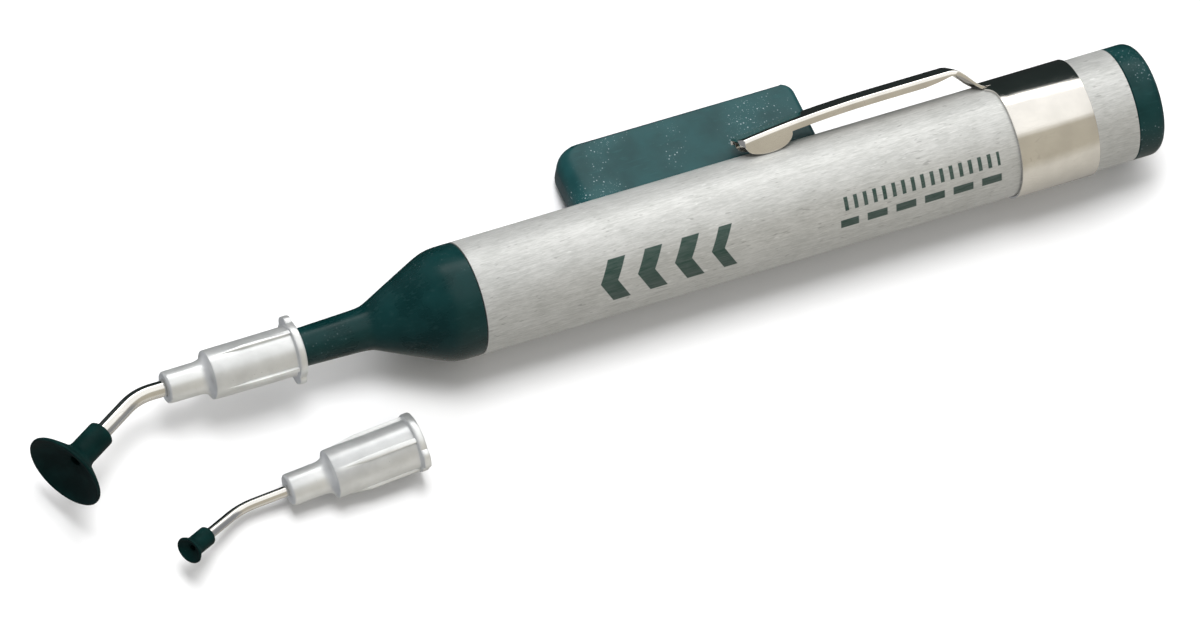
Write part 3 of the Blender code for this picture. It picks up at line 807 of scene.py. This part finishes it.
barrel_metal = brushed_metal("brushed_barrel", (0.60, 0.60, 0.58), (0.43, 0.435, 0.415),
                             (0.64, 0.64, 0.62), 0.48, lying(pen), 0.5, 0.45, 0.5, barrel_print)
plastic = moulded_plastic("green_black_plastic", (0.0002, 0.016, 0.016), 0.27, 0.22, 0.2)
plug_plastic = moulded_plastic("handled_plug_plastic", (0.0008, 0.022, 0.022), 0.36, 0.22, 0.6)
# Painted light: the button's plastic is a lighter copy of the green-black plastic, standing in for
# the light its upward face catches; its drifts and specks are real dust.
button_plastic = moulded_plastic("button_plastic_dust_and_painted_light", (0.0025, 0.032, 0.034), 0.34, 0.34, 1.0)
steel = polished_steel("clip_spring_steel", (0.80, 0.77, 0.72), 0.12, lying(clip))
fitted_metal = satin_metal("fitted_hub_satin", (0.86, 0.87, 0.86), 0.35, lying(fitted))
spare_metal = satin_metal("spare_hub_satin", (0.90, 0.91, 0.90), 0.35, lying(spare))
fitted_steel = polished_steel("fitted_tube_steel", (0.80, 0.78, 0.74), 0.14, lying(fitted))
spare_steel = polished_steel("spare_tube_steel", (0.80, 0.78, 0.74), 0.14, lying(spare))
rubber = soft_rubber("cup_rubber", (0.0001, 0.0098, 0.0090), 0.55)
bulb_rubber = soft_rubber("bulb_rubber", (0.14, 0.05, 0.035), 0.55)
brass = brushed_metal("clamp_brass", (0.62, 0.48, 0.26), (0.50, 0.38, 0.19), (0.72, 0.57, 0.33),
                      0.30, lying(pen), 1.0, 0.2)

make_barrel(barrel_metal)
make_nose(plastic)
make_rear_plug(plug_plastic)
make_button(button_plastic)
make_clip(steel)
for node, finish in (("squeeze_bulb", bulb_rubber), ("bulb_clamp", brass)):
    for material_slot in frame["nodes"][node].material_slots:
        material_slot.material = finish

make_hub("fitted_hub_body", fitted, "fitted_probe", "fitted_hub", math.radians(30), 0.95,
         fitted_metal)
make_tube("fitted_bent_tube", fitted, "fitted_probe", "fitted_tube", 0.9, 0.2, 3.3, 7.9,
          fitted_steel)
big_outside = [(-6.0, 0.95), (-6.0, 1.42), (-6.1, 1.52), (-6.25, 1.55), (-9.2, 1.55),
               (-9.7, 1.62), (-10.1, 1.86), (-10.5, 2.30), (-11.0, 3.05), (-11.5, 3.80),
               (-11.95, 4.42), (-12.15, 4.66), (-12.28, 4.75), (-12.42, 4.75), (-12.5, 4.66)]
big_inside = [(-12.5, 4.50), (-12.3, 4.30), (-12.0, 3.90), (-11.6, 3.20), (-11.25, 2.40),
              (-11.0, 1.60), (-10.85, 0.95), (-10.6, 0.62), (-10.3, 0.60), (-7.95, 0.60),
              (-7.95, 0.95)]
make_cup("fitted_suction_pad", cup_frame(fitted, 3.3), "fitted_suction_cup", "fitted_cup",
         big_outside, big_inside, rubber)

make_hub("spare_hub_body", spare, "spare_probe", "spare_hub", math.radians(12), 0.65, spare_metal)
make_tube("spare_bent_tube", spare, "spare_probe", "spare_tube", 0.6, 0.15, 5.6, 7.6, spare_steel)
small_outside = [(-5.7, 0.65), (-5.7, 1.0), (-5.78, 1.08), (-5.9, 1.10), (-7.8, 1.10),
                 (-8.05, 1.13), (-8.3, 1.22), (-8.55, 1.38), (-8.75, 1.53), (-8.88, 1.60),
                 (-8.97, 1.58), (-9.0, 1.52)]
small_inside = [(-9.0, 1.40), (-8.9, 1.25), (-8.7, 0.95), (-8.5, 0.60), (-8.35, 0.37),
                (-8.2, 0.35), (-7.65, 0.35), (-7.65, 0.65)]
make_cup("spare_suction_pad", cup_frame(spare, 5.6), "spare_suction_cup", "spare_cup",
         small_outside, small_inside, rubber)

bpy.context.scene.view_settings.view_transform = 'Standard'
